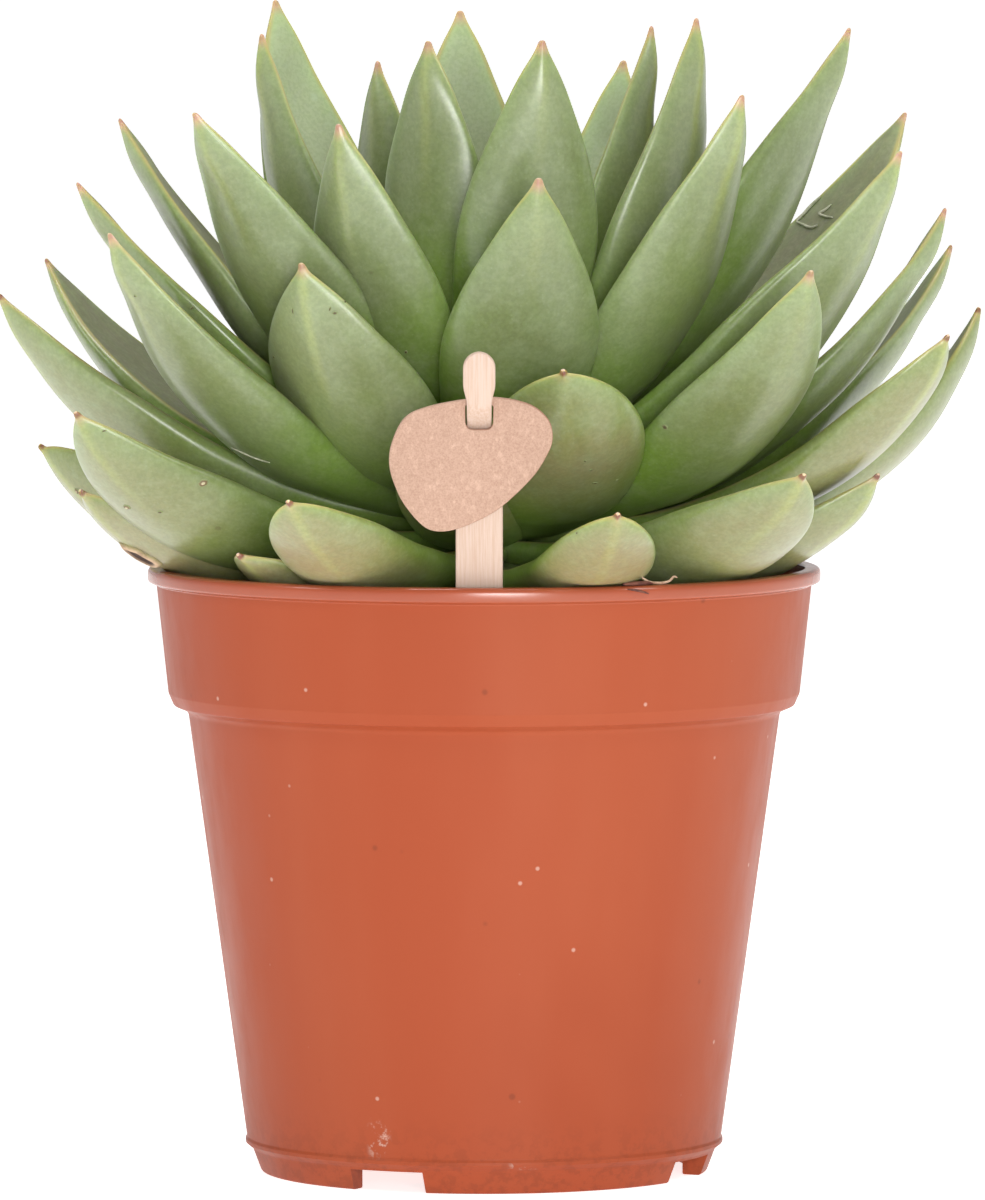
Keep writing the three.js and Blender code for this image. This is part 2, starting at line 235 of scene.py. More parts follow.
def loftFaces(ringCount, ringSize, start=0):
    faces = []
    for i in range(ringCount - 1):
        for j in range(ringSize):
            a = start + i * ringSize + j
            b = start + i * ringSize + (j + 1) % ringSize
            faces.append((a, b, b + ringSize, a + ringSize))
    last = start + (ringCount - 1) * ringSize
    faces.append(tuple(range(start, start + ringSize)))
    faces.append(tuple(range(last, last + ringSize)))
    return faces


def curvePoint(a, b, c, d, share):
    # on the smooth line from b to c, whose neighbours are a and d
    return 0.5 * (2 * b + (c - a) * share + (2 * a - 5 * b + 4 * c - d) * share ** 2
                  + (3 * b - a - 3 * c + d) * share ** 3)


def roundCorners(outline, steps=5):
    # outline rows are (radius, height, corner radius)
    points = []
    for i, (r, z, fillet) in enumerate(outline):
        here = np.array([r, z], float)
        if fillet <= 0:
            points.append(here)
            continue
        before = unit(np.array(outline[i - 1][:2], float) - here)
        after = unit(np.array(outline[(i + 1) % len(outline)][:2], float) - here)
        half = math.acos(np.clip(before @ after, -1, 1)) / 2
        reach = fillet / math.tan(half)
        for step in range(steps + 1):
            share = step / steps
            a, b = here + before * reach, here + after * reach
            points.append((1 - share) ** 2 * a + 2 * share * (1 - share) * here + share ** 2 * b)
    return np.array(points)


def turnedPoints(outline, sides):
    angle = np.arange(sides) * 2 * math.pi / sides
    rings = [np.stack([r * np.sin(angle), -r * np.cos(angle), np.full(sides, z)], 1) for r, z in outline]
    return np.concatenate(rings)


# camera, lights and floor

studio = {
    "cameraPlace": (0.0015, -2.2, 0.25),
    "lookDown": 3.85,
    "lens": 371.0, "sensorWidth": 36,
    "wallLight": 0.8, "ceilingLight": 0.28, "tableGlow": 0.76,
    "wallTop": (0.05, 0.4),  # upward share of a direction where the wall's light fades into the ceiling's
    "floorSize": 60.0,
    "floorColor": (250, 250, 250),
    # name, place in metres, size in metres, watts
    "lights": [
        ("frontLight", (0.2, -2.0, 0.28), 0.6, 21.0),
        ("lowLight", (0.3, -1.4, 0.17), 0.3, 2.0),
        ("topBox", (0.0, 0.1, 1.15), 0.55, 7.0),
        ("leftBox", (-0.75, -0.35, 0.85), 0.4, 3.0),
        ("rightBox", (0.75, -0.35, 0.85), 0.4, 3.0),
    ],
    "aim": (0, 0, 0.11),
}


def buildStudio():
    camera = bpy.data.cameras.new("studioCamera")
    camera.lens = studio["lens"]
    camera.sensor_width = studio["sensorWidth"]
    holder = addObject("studioCamera", camera)
    holder.location = studio["cameraPlace"]
    holder.rotation_euler = (math.radians(90 - studio["lookDown"]), 0, 0)
    bpy.context.scene.camera = holder
    for name, place, size, watts in studio["lights"]:
        light = bpy.data.lights.new(name, "AREA")
        light.shape = "SQUARE"
        light.size = size
        light.energy = watts
        lamp = addObject(name, light)
        lamp.location = place
        toward = Vector(studio["aim"]) - Vector(place)
        lamp.rotation_euler = toward.to_track_quat("-Z", "Y").to_euler()
    world = bpy.data.worlds.new("studioWorld")
    world.use_nodes = True
    tree = world.node_tree
    sky = tree.nodes["Background"]
    sky.inputs["Color"].default_value = (1, 1, 1, 1)
    upward = partsOf(tree, tree.nodes.new("ShaderNodeTexCoord").outputs["Generated"])["Z"]
    glow = rangeOf(tree, upward, *studio["wallTop"], studio["wallLight"], studio["ceilingLight"])
    tree.links.new(glow, sky.inputs["Strength"])
    bpy.context.scene.world = world
    bpy.context.scene.view_settings.view_transform = "Standard"
    material, tree = newMaterial("floorPaint", Roughness=0.9, Emission_Strength=studio["tableGlow"],
                                 Base_Color=linearColor(*studio["floorColor"]), Emission_Color=(1, 1, 1, 1))
    mesh = bpy.data.meshes.new("studioFloor")
    s = studio["floorSize"] / 2
    mesh.from_pydata([(-s, -s, 0), (s, -s, 0), (s, s, 0), (-s, s, 0)], [], [(0, 1, 2, 3)])
    floor = addObject("studioFloor", mesh)
    mesh.materials.append(material)
    print("studio ready")


buildStudio()


# nursery pot

pot = {
    "height": 108, "rimRadius": 60, "beadHeight": 2.8, "collarTopRadius": 58.4, "collarBottomRadius": 56.3,
    "collarBottom": 85, "bodyTopRadius": 52.8, "bodyTop": 82.4, "bodyBottomRadius": 42.4, "bodyBottom": 5.7,
    "footRadius": 39.8, "footWidth": 3.4, "footHeight": 3.8, "wall": 1.2, "floorFillet": 2,
    "notchWidth": 14, "notchDepth": 14, "notchTurns": [-25, 65, 155, 245], "drainRadius": 4, "drainReach": 29,
    "sides": 240, "drainSides": 40, "sharpAngle": 38,
    "colors": {
        "wall": (149, 69, 42), "pale": (158, 83, 56), "dark": (135, 57, 32), "lime": (226, 205, 190),
        "grime": (104, 52, 36),
    },
    # specular level, lowest and highest roughness, and strength of the bump
    "wallSkin": (0.1, (0.36, 0.5), 0.25),
    "rimSkin": (0.5, (0.18, 0.25), 0.04),
    "limeMarks": [(-18.4, 9.5, 2.4, 4.2), (7.2, 5.2, 3.4, 1.0)],  # across, height and half sizes
    # cells per metre, size and share of the cells that hold a speck, its strength and colour
    "specks": [(210.0, 0.17, 0.05, 0.5, "grime"), (320.0, 0.16, 0.04, 0.3, "lime")],
}


def potMaterial(name, gloss, roughness, bump):
    material, tree = newMaterial(name, Specular_IOR_Level=gloss)
    c = linearColors(pot["colors"])
    where = placeOf(tree)
    parts = partsOf(tree, where)
    flow = noiseOf(tree, where, 26.0, 4.0, stretch=(1, 1, 0.12))  # moulding streaks run up the wall
    cloud = noiseOf(tree, where, 14.0, 3.0)
    grain = noiseOf(tree, where, 900.0, 2.0)
    scuff = noiseOf(tree, where, 120.0, 5.0, 0.7, stretch=(1, 1, 0.35))
    crust = noiseOf(tree, where, 420.0, 4.0, 0.7)
    color = mixOf(tree, rangeOf(tree, flow, 0.35, 0.7, 0.0, 0.45), c["wall"], c["pale"])
    color = mixOf(tree, rangeOf(tree, cloud, 0.5, 0.75, 0.0, 0.35), color, c["dark"])
    # lime and smudges near the foot
    lime = times(tree, rangeOf(tree, scuff, 0.68, 0.78), rangeOf(tree, parts["Z"], 0.026, 0.002))
    facing = rangeOf(tree, parts["Y"], 0.01, -0.01)
    for x, z, halfWidth, halfHeight in pot["limeMarks"]:
        mark = times(tree, facing, rangeOf(tree, crust, 0.5, 0.62, 0.0, 0.9))
        for axis, middle, half in (("X", x, halfWidth), ("Z", z, halfHeight)):
            away = mathOf(tree, "ABSOLUTE", mathOf(tree, "SUBTRACT", parts[axis], middle * mm))
            mark = times(tree, mark, rangeOf(tree, away, half * mm, half * mm * 0.3))
        lime = mathOf(tree, "MAXIMUM", lime, mark)
    smudge = times(tree, rangeOf(tree, crust, 0.45, 0.6, 0.0, 0.3), rangeOf(tree, parts["Z"], 0.016, 0.002))
    color = mixOf(tree, smudge, color, c["grime"])
    color = mixOf(tree, times(tree, lime, 0.5), color, c["lime"])
    for scale, size, share, strength, tint in pot["specks"]:
        specks = times(tree, specksOf(tree, where, scale, size, share), strength)
        color = mixOf(tree, specks, color, c[tint])
    height = plus(tree, times(tree, grain, 0.25), flow)
    return dress(material, color, height, bump, 0.12, rangeOf(tree, scuff, 0.3, 0.75, *roughness))


def potOutline():
    p = pot
    w = p["wall"]
    line = p["height"] - p["beadHeight"]
    return [
        (0, p["footHeight"], 0),
        (p["footRadius"] - p["footWidth"], p["footHeight"], 0.6),
        (p["footRadius"] - p["footWidth"], 0, 0.4),
        (p["footRadius"], 0, 0.7),
        (p["footRadius"] + 1.6, p["bodyBottom"] - 1.5, 1.2),
        (p["bodyBottomRadius"] + 0.25, p["bodyBottom"] - 0.5, 0.2),  # parting line of the mould
        (p["bodyBottomRadius"] + 0.25, p["bodyBottom"] + 0.1, 0.2),
        (p["bodyBottomRadius"], p["bodyBottom"] + 0.6, 0.4),
        (p["bodyTopRadius"], p["bodyTop"], 1.6),
        (p["collarBottomRadius"] - 0.9, p["collarBottom"] - 1.5, 0.5),
        (p["collarBottomRadius"], p["collarBottom"] + 0.6, 0.9),
        (p["collarTopRadius"], line - 0.2, 0.4),
        (p["rimRadius"] - 0.1, line + 0.3, 0.5),
        (p["rimRadius"], p["height"], 1.1),
        (p["collarTopRadius"] - w, p["height"], 0.5),
        (p["collarBottomRadius"] - w, p["collarBottom"] + 0.6, 0.8),
        (p["bodyTopRadius"] - w, p["bodyTop"] - 0.6, 0.8),
        (p["bodyBottomRadius"] - w, p["bodyBottom"] + w, 1.5),
        (p["bodyBottomRadius"] - w - p["floorFillet"], p["footHeight"] + w, 0.8),
        (0, p["footHeight"] + w, 0),
    ]


def cutAway(piece, cutters):
    for cutter in cutters:
        trim = piece.modifiers.new("trim", "BOOLEAN")
        trim.operation = "DIFFERENCE"
        trim.solver = "EXACT"
        trim.object = cutter
    view = bpy.context.evaluated_depsgraph_get()
    mesh = bpy.data.meshes.new_from_object(piece.evaluated_get(view))
    piece.modifiers.clear()
    piece.data = mesh
    for cutter in cutters:
        bpy.data.objects.remove(cutter)


def cutterFrom(shape):
    mesh = bpy.data.meshes.new("potCutter")
    shape.to_mesh(mesh)
    shape.free()
    return addObject("potCutter", mesh)


def buildPot():
    p = pot
    outline = roundCorners(potOutline())[1:-1]
    points = turnedPoints(outline, p["sides"])
    wall = potMaterial("terracottaPlastic", *p["wallSkin"])
    piece = makePiece("nurseryPot", points, loftFaces(len(outline), p["sides"]), wall, ["pot"],
                      sharp=p["sharpAngle"])
    cutters = []
    for turn in p["notchTurns"]:
        out = heading(float(turn))
        size = (p["notchWidth"] * mm, p["notchDepth"] * mm, p["footHeight"] * 2 * mm)
        place = (Matrix.Translation(Vector(out * p["footRadius"] * mm))
                 @ Matrix.Rotation(math.radians(turn), 4, "Z") @ Matrix.Diagonal((*size, 1)))
        notch = bmesh.new()
        bmesh.ops.create_cube(notch, size=1, matrix=place)
        place = Matrix.Translation(Vector((*(out * p["drainReach"] * mm)[:2], p["footHeight"] * mm)))
        radius = p["drainRadius"] * mm
        drain = bmesh.new()
        bmesh.ops.create_cone(drain, segments=p["drainSides"], radius1=radius, radius2=radius,
                              depth=p["wall"] * 4 * mm, cap_ends=True, matrix=place)
        cutters += [cutterFrom(notch), cutterFrom(drain)]
    cutAway(piece, cutters)
    piece.data.set_sharp_from_angle(angle=math.radians(p["sharpAngle"]))
    piece.data.materials.append(potMaterial("glossyRim", *p["rimSkin"]))
    for face in piece.data.polygons:
        if face.center.z > (p["height"] - p["beadHeight"] - 0.3) * mm:
            face.material_index = 1
    print("pot turned:", len(piece.data.polygons), "faces")


buildPot()


# potting mix

soil = {
    "top": 99, "dome": 2.5, "domePower": 2.2, "rings": 60, "sides": 180, "waves": 24, "lumpiness": 0.9,
    "crumbs": 420, "crumbSize": (1.0, 2.8), "seed": 11,
    "colors": {"dark": (52, 37, 28), "pale": (96, 72, 54), "bark": (120, 84, 56)},
}


def soilMaterial():
    material, tree = newMaterial("pottingMix", Roughness=0.95)
    c = linearColors(soil["colors"])
    where = placeOf(tree)
    coarse = noiseOf(tree, where, 220.0, 5.0, 0.7)
    fine = noiseOf(tree, where, 900.0, 3.0, 0.6)
    color = mixOf(tree, rangeOf(tree, coarse, 0.4, 0.7), c["dark"], c["pale"])
    color = mixOf(tree, rangeOf(tree, fine, 0.62, 0.7, 0.0, 0.6), color, c["bark"])
    return dress(material, color, plus(tree, coarse, times(tree, fine, 0.4)), 0.9, 1.2)


def wallInside(height):
    p = pot
    share = (height - p["collarBottom"]) / (p["height"] - p["beadHeight"] - p["collarBottom"])
    return lerp(p["collarBottomRadius"], p["collarTopRadius"], share) - p["wall"] - gap


def buildSoil():
    rng = np.random.default_rng(soil["seed"])
    material = soilMaterial()
    p = pot
    room = p["wall"] + gap
    rim = wallInside(soil["top"])
    side = [
        (p["bodyBottomRadius"] - room - p["floorFillet"], p["footHeight"] + room),
        (p["bodyBottomRadius"] - room, p["bodyBottom"] + room),
        (p["bodyTopRadius"] - room, p["bodyTop"] - 0.6),
        (p["collarBottomRadius"] - room, p["collarBottom"] + 0.9),
        (rim, soil["top"] - 1),
    ]
    shares = np.linspace(1, 0.02, soil["rings"])
    top = [(rim * s, soil["top"] + soil["dome"] * (1 - s ** soil["domePower"])) for s in shares]
    points = turnedPoints(side + top, soil["sides"])
    start = len(side) * soil["sides"]
    lumps = points[start:]
    radius = np.hypot(lumps[:, 0], lumps[:, 1])
    swell = np.zeros(len(lumps))
    for wave in range(soil["waves"]):
        k = rng.normal(0, 0.55, 2)
        swell += np.sin(lumps[:, :2] @ k + rng.uniform(0, 6.28)) * 0.16
    lumps[:, 2] += swell * smooth(rim, rim * 0.93, radius) * soil["lumpiness"]
    faces = loftFaces(len(side) + len(top), soil["sides"])
    makePiece("pottingMix", points, faces, material, ["soil"])
    ball = bmesh.new()
    bmesh.ops.create_icosphere(ball, subdivisions=1, radius=1.0)
    seedPoints = np.array([v.co[:] for v in ball.verts])
    seedFaces = [[v.index for v in f.verts] for f in ball.faces]
    ball.free()
    points, faces = [], []
    for i in range(soil["crumbs"]):
        reach = rim * 0.97 * math.sqrt(rng.uniform(0.02, 1))
        spot = heading(rng.uniform(0, 360)) * reach
        size = rng.uniform(*soil["crumbSize"])
        spin = np.linalg.qr(rng.normal(size=(3, 3)))[0]
        stretch = rng.uniform(0.45, 1.0, 3) * size / 2
        lump = (seedPoints * rng.uniform(0.75, 1.2, (len(seedPoints), 1)) * stretch) @ spin
        spot[2] = soil["top"] + soil["dome"] * (1 - (reach / rim) ** soil["domePower"]) + 0.1
        faces += [[len(points) * len(seedPoints) + j for j in f] for f in seedFaces]
        points.append(lump + spot)
    makePiece("mixCrumbs", np.concatenate(points), faces, material)
    print("potting mix filled")


buildSoil()


# the rosette

crown = {"height": 120, "lowestRoot": 108, "highestRoot": 135, "lowestRise": -5, "highestRise": 90}
stem = {
    "radius": 8, "rings": 70, "sides": 64, "scarHeight": 0.25,
    # height and share of the radius
    "profile": [(62, 0.6), (76, 0.8), (102, 1), (110, 1), (130, 0.8), (138, 0.4)],
    "colors": {"dark": (112, 104, 66), "pale": (158, 150, 108)},
}

leafForm = {
    "widest": 0.55, "rootPower": 1.6, "thickest": 0.38, "rootThickness": 0.42, "topShare": 0.22,
    "swerve": 1.6,
    # leaves with tips lower than the first are plump, and higher than the second slender
    "oldHeight": 140, "youngHeight": 172,
    # what each is on a slender leaf and on a plump one
    "traits": {
        "thicknessPerWidth": (0.3, 0.34), "tipPower": (1.75, 2.7), "tipRound": (1.0, 0.66),
        "thinning": (1.7, 3.4), "rootShare": (0.38, 0.85), "cup": (0.16, 0.12), "pointRadius": (0.5, 0.5),
        "pointSpread": (0.36, 0.16), "pointTop": (0.4, 0.55), "pointUnder": (0.7, 1.25),
    },
    "belly": (2.3, 0.5),  # how full the underside is across the leaf
    "shoulder": 0.3,  # height of the rounded side, as a share of the thickness
    "shoulderTurn": 60,  # how far the side rounds over before the sharp margin
    "keel": (0.4, 0.92, 0.42),  # where the ridge starts and is full, and its share there
    "wave": 0.3,  # slow unevenness of the flesh
    "rings": 44, "tipRings": 15, "topSteps": 15, "underSteps": 25, "sideSteps": 6, "seed": 23,
}

# turn, swing, reach, tip height, width, bow, roll, and the plumpness of a leaf whose height doesn't tell it
frontLeaves = [
    (-44, 0, 62, 113, 22, 14, 0),
    (17, 6, 79, 122, 21.5, 22, -4),
    (-72, -8, 75, 123, 25, 24, 5),
    (-25, 0, 80, 124, 23, 20, 12),
    (70, 12, 74, 126, 24, 32, -4, 0.5),
    (42, 8, 83, 128, 27, 22, -16, 0.5),
    (-100, -5, 81, 129, 27, 26, 30),
    (-57, -10, 85, 138, 28, 28, 16, 0.4),
    (-8, 0, 49, 132, 22, 10, 0),
    (13, 12, 61, 146, 29.5, 14, 0, 1),
    (66, 14, 89, 151, 25, 28, 0),
    (94, 4, 88.5, 154, 27, 46, 0),
    (-84, -6, 86.5, 157, 30, 27, 8),
    (-106, 0, 82, 162, 30, 28, 0),
    (46, 12, 79, 163, 26, 28, -8),
    (112, 0, 91, 164, 25, 34, -12),
    (-34, -4, 57, 164, 32, 24, 0),
    (-57, -4, 78, 169, 28, 26, 0),
    (88, 0, 82, 172, 26, 33, -6),
    (-76, 0, 74, 177, 26, 16, 0),
    (10, 0, 55, 179, 28, 20, 0),
    (66, 0, 80, 183, 30, 25, -12),
    (-124, 0, 56, 181, 24, 20, 0),
    (112, 0, 82, 188, 30, 20, 12),
    (-84, 0, 65, 188, 27, 14, -7),
    (-32, 0, 48, 188, 26, 20, 0),
    (-50, 0, 66, 190, 26, 11, 12),
    (50, 0, 59, 193, 25, 20, -2),
    (152, 0, 54, 197, 24, 20, 0),
    (-95, 0, 19, 198, 22, 12, 42),
    (112, 0, 41, 201, 23, 20, 0),
    (16, 0, 37, 202.5, 26, 16, 0),
    (-28, 0, 21, 202, 22, 12, 0),
    (-80, 0, 40, 203, 20, 20, 20),
    (86, 0, 65, 204, 30, 16, -20),
    (110, 0, 31.8, 204, 22, 14, -42),
    (66, 0, 41, 206, 25.5, 22, -6),
    (190, 0, 25, 206.5, 24, 12, 0),
    (-140, 0, 59, 208, 27, 22, 0),
]

backRows = [
    {"turns": [118, 144, 170, 196, 221, 243], "reach": 73, "tipHeight": 127},
    {"turns": [131, 157, 183, 208, 233], "reach": 76, "tipHeight": 148},
    {"turns": [144, 170, 196, 220], "reach": 71, "tipHeight": 171},
]
backLeaf = {"width": 26, "bow": 25, "sway": 2, "swayRate": 2.4}

heart = {
    "leaves": 8, "turnStep": 137.5, "reach": (15, 3.8), "tipHeight": (178, 162), "width": (16, 7.2),
    "rootHeight": (141, 146), "bow": 10, "rings": 26,
}

leafColors = {
    "fresh": (109, 143, 40), "grey": (112, 124, 79), "oldGreen": (110, 122, 58),
    # blush: the old leaves' own pinkish tint, and also painted warm bounce light on faces that look down
    "pale": (142, 150, 110), "oldPale": (128, 133, 84), "blushAndBounce": (148, 130, 102),
    # inner: the inner face of the front leaves, darkened partly as painted shade; paleInner: the lighter
    # inner face of the back leaves
    "inner": (113, 110, 82), "paleInner": (156, 167, 129),
    "bloom": (154, 168, 132), "keel": (162, 168, 96), "margin": (162, 154, 88), "redMargin": (154, 128, 94),
    "tip": (178, 118, 120), "tipRing": (104, 50, 42), "tipGlintDot": (206, 172, 150), "speck": (84, 72, 44),
    "waterSpot": (176, 190, 170),
}


def leafMaterial():
    material, tree = newMaterial(
        "waxyLeaf", Roughness=0.34, Specular_IOR_Level=0.65, Subsurface_Weight=0.5, Subsurface_Scale=0.007,
        Subsurface_Radius=(0.7, 1.0, 0.25))
    where = placeOf(tree)
    names = ("leafAlong", "toEdge", "leafInner", "leafTone", "leafOld", "leafFrontShade", "toTip")
    along, toEdge, inner, tone, old, front, toTip = (attributeOf(tree, name) for name in names)
    grid = attributeOf(tree, "leafGrid", "Vector")
    c = linearColors(leafColors)
    patch = noiseOf(tree, where, 45.0, 3.0)
    mottle = noiseOf(tree, where, 260.0, 4.0, 0.6)
    fine = noiseOf(tree, where, 1500.0, 2.0)
    dust = noiseOf(tree, where, 620.0, 3.0, 0.65)
    streak = noiseOf(tree, grid, 0.5, 4.0, 0.6, stretch=(1, 0.06, 1))
    # green flesh, fresher near the root and paler near the tip
    lengthwise = plus(tree, along, times(tree, mathOf(tree, "SUBTRACT", patch, 0.5), 0.5))
    flesh = mixOf(tree, old, c["grey"], c["oldGreen"])
    color = mixOf(tree, rangeOf(tree, lengthwise, 0.25, 0.75), c["fresh"], flesh)
    pale = mixOf(tree, old, c["pale"], c["oldPale"])
    color = mixOf(tree, rangeOf(tree, tone, 0.2, 1.0, 0.0, 0.3), color, pale)
    color = mixOf(tree, rangeOf(tree, toTip, 24.0, 3.0, 0.0, 0.5), color, pale)
    # the low leaves blush where they look down; on faces that look down the same tint is painted warm light
    # bounced up from below
    facing = partsOf(tree, tree.nodes.new("ShaderNodeNewGeometry").outputs["Normal"])
    down = rangeOf(tree, plus(tree, facing["Z"], times(tree, mottle, 0.3)), -0.1, -0.8)
    down = times(tree, down, rangeOf(tree, along, 0.35, 0.75))
    color = mixOf(tree, times(tree, down, rangeOf(tree, old, 0.0, 1.0, 0.2, 0.65)), color, c["blushAndBounce"])
    # a pale line along the ridge under the tip
    ridge = rangeOf(tree, mathOf(tree, "ABSOLUTE", partsOf(tree, grid)["X"]), 1.7, 0.2)
    ridge = times(tree, ridge, rangeOf(tree, toTip, 32.0, 10.0))
    ridge = times(tree, ridge, rangeOf(tree, tone, 0.1, 0.9, 0.1, 0.5))
    color = mixOf(tree, ridge, color, c["keel"])
    # the inner face is duller and streaked, and on the leaves that face the front it is painted darker as
    # shade
    streaked = times(tree, front, rangeOf(tree, streak, 0.3, 0.65, 0.55, 0.0))
    dull = times(tree, inner, mathOf(tree, "SUBTRACT", 1.0, streaked))
    color = mixOf(tree, dull, color, mixOf(tree, front, c["paleInner"], c["inner"]))
    # waxy bloom, rubbed off in places
    wax = times(tree, rangeOf(tree, patch, 0.4, 0.7), rangeOf(tree, mottle, 0.3, 0.7, 0.05, 0.28))
    color = mixOf(tree, wax, color, c["bloom"])
    grains = specksOf(tree, where, 1100.0, 0.3, 0.45)
    color = mixOf(tree, times(tree, grains, 0.16), color, c["bloom"])
    color = mixOf(tree, rangeOf(tree, fine, 0.35, 0.65, 0.0, 0.16), color, c["fresh"], "MULTIPLY")
    color = mixOf(tree, rangeOf(tree, dust, 0.4, 0.75, 0.0, 0.2), color, c["bloom"])
    # margins
    color = mixOf(tree, rangeOf(tree, toEdge, 1.0, 0.1, 0.0, 0.6), color, c["margin"])
    rim = times(tree, rangeOf(tree, toEdge, 0.7, 0.1), rangeOf(tree, toTip, 34.0, 6.0, 0.05, 0.4))
    color = mixOf(tree, rim, color, c["redMargin"])
    # pink young tips, old ones dried to a dark ring with a pale dot at the very point, the dot a painted
    # highlight
    young = times(tree, rangeOf(tree, toTip, 3.6, 0.3, 0.0, 0.85), rangeOf(tree, old, 0.7, 0.0, 0.3, 1.0))
    color = mixOf(tree, young, color, c["tip"])
    dried = rangeOf(tree, old, 0.0, 0.4, 0.3, 0.95)
    color = mixOf(tree, times(tree, rangeOf(tree, toTip, 1.6, 0.9), dried), color, c["tipRing"])
    color = mixOf(tree, times(tree, rangeOf(tree, toTip, 0.5, 0.25), dried), color, c["tipGlintDot"])
    # specks and dried water spots
    specks = specksOf(tree, where, 150.0, 0.12, 0.035)
    color = mixOf(tree, times(tree, specks, 0.45), color, c["speck"])
    spots = specksOf(tree, where, 95.0, 0.14, 0.05)
    hollow = specksOf(tree, where, 95.0, 0.1, 0.05)
    rings = mathOf(tree, "SUBTRACT", spots, times(tree, hollow, 0.8))
    color = mixOf(tree, times(tree, rings, 0.3), color, c["waterSpot"])
    roughness = plus(tree, rangeOf(tree, patch, 0.3, 0.7, 0.29, 0.38), times(tree, inner, 0.25))
    height = plus(tree, times(tree, mottle, 0.5), times(tree, fine, 0.12))
    return dress(material, color, height, 0.22, 0.25, roughness)


def rootHeightOf(reach, tipHeight):
    rise = math.degrees(math.atan2(tipHeight - crown["height"], reach))
    share = (rise - crown["lowestRise"]) / (crown["highestRise"] - crown["lowestRise"])
    return lerp(crown["lowestRoot"], crown["highestRoot"], share)


def listLeaves():
    keys = ("turn", "swing", "reach", "tipHeight", "width", "bow", "roll", "plump")
    leaves = [dict(zip(keys, row)) for row in frontLeaves]
    for row in backRows:
        for i, turn in enumerate(row["turns"]):
            sway = backLeaf["sway"] * math.sin(turn * backLeaf["swayRate"] + i)
            leaves.append({"turn": turn, "swing": sway, "reach": row["reach"] + sway, "bow": backLeaf["bow"],
                           "tipHeight": row["tipHeight"] - sway, "width": backLeaf["width"], "roll": sway})
    for leaf in leaves:
        leaf["rootHeight"] = rootHeightOf(leaf["reach"], leaf["tipHeight"])
    return sorted(leaves, key=lambda leaf: leaf["rootHeight"])


def leafTraits(leaf):
    plump = 1 - float(smooth(leafForm["oldHeight"], leafForm["youngHeight"], leaf["tipHeight"]))
    plump = leaf.get("plump", plump)
    return plump, {key: lerp(*ends, plump) for key, ends in leafForm["traits"].items()}


def widthShare(t, traits):
    form = leafForm
    toTip = np.clip((t - form["widest"]) / (1 - form["widest"]), 0, 1) ** traits["tipPower"]
    toTip = np.clip(1 - toTip, 0, 1) ** traits["tipRound"]
    toRoot = 1 - (1 - traits["rootShare"]) * np.clip(1 - t / form["widest"], 0, 1) ** form["rootPower"]
    return np.where(t > form["widest"], toTip, toRoot)


def thicknessShare(t, thinning):
    form = leafForm
    toTip = 1 - np.clip((t - form["thickest"]) / (1 - form["thickest"]), 0, 1) ** thinning
    return np.where(t > form["thickest"], toTip, lerp(form["rootThickness"], 1, t / form["thickest"]))


def leafControls(leaf):
    rootReach = stem["radius"] / 2
    root = heading(leaf["turn"] + leaf["swing"]) * rootReach + [0, 0, leaf["rootHeight"]]
    tip = heading(leaf["turn"]) * leaf["reach"] + [0, 0, leaf["tipHeight"]]
    slope = math.degrees(math.atan2(tip[2] - root[2], leaf["reach"] - rootReach))
    third = np.linalg.norm(tip - root) / 3
    swerve = leafForm["swerve"] * leaf["swing"]

    def step(turn, angle):
        angle = math.radians(angle)
        return (heading(turn) * math.cos(angle) + [0, 0, math.sin(angle)]) * third

    afterRoot = root + step(leaf["turn"] + swerve, slope - leaf["bow"])
    beforeTip = tip - step(leaf["turn"] - swerve, slope + leaf["bow"])
    return root, afterRoot, beforeTip, tip


def bezier(controls, t):
    a, b, c, d = controls
    t = t[:, None]
    u = 1 - t
    points = u ** 3 * a + 3 * u * u * t * b + 3 * u * t * t * c + t ** 3 * d
    slopes = 3 * u * u * (b - a) + 6 * u * t * (c - b) + 3 * t * t * (d - c)
    return points, unit(slopes)


def leafStations(length, count):
    neck = 1 - 4.0 / length
    body = np.linspace(0, 1, count) ** 0.9 * neck
    point = 1 - (1 - neck) * (1 - np.linspace(0, 1, leafForm["tipRings"])[1:]) ** 1.5
    return np.concatenate([body, point])


